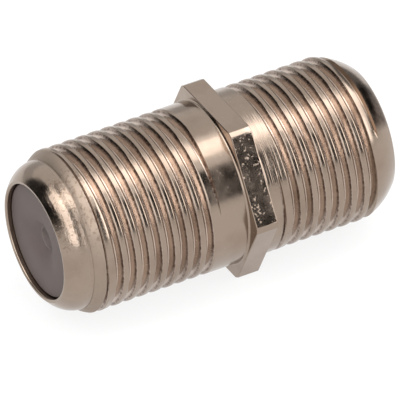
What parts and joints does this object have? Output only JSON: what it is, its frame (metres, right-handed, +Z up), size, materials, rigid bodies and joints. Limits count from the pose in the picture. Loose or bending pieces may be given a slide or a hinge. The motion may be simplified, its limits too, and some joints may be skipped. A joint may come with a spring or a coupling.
{
  "type": "f connector coupler",
  "caption": "Straight double-ended female F coupler: two threaded barrels with a hexagon between them, insulated sprung centre contact.",
  "frame": {"origin": "middle of the bottom of the bounding box, under the axis, on the surface that the lower flat of the hexagon rests on", "axes": "+X along the coupler's axis towards the short barrel, +Z up, square to the flat of the hexagon that it lies on, +Y across the axis towards a corner of the hexagon"},
  "size_m": [0.0204, 0.011, 0.0097],
  "materials": {
    "plated_shell": "nickel plated, bright, with fine turning marks",
    "insulator": "natural translucent plastic",
    "contact_bronze": "bare spring bronze"
  },
  "bodies": {
    "root": {"shell": "plated_shell", "long_end_insulator": "insulator", "short_end_insulator": "insulator", "centre_contact": "contact_bronze"}
  },
  "joints": []
}
